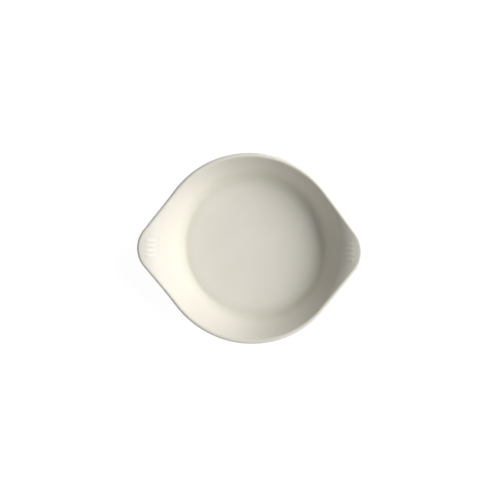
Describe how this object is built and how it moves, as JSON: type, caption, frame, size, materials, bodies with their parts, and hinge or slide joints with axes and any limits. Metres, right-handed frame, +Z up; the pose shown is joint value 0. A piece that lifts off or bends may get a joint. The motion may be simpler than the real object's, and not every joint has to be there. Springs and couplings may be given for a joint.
{
  "type": "eared baking dish",
  "caption": "Round shallow ceramic dish with a flat floor, a flared wall, a foot ring and pointed, upswept ears with fine grip ribs to lift it by.",
  "frame": {"origin": "centre of the foot ring's resting plane, on the axis of the round bowl", "axes": "+Z up out of the bowl, +X out through the tip of one ear, +Y across to the side of the rim"},
  "size_m": [0.165, 0.14, 0.0362],
  "materials": {
    "china_body": "matt fired body",
    "ivory_glaze": "gloss ivory glaze"
  },
  "bodies": {
    "root": {"china_body": "china_body", "glaze_coat": "ivory_glaze", "base_glaze": "ivory_glaze"}
  },
  "joints": []
}
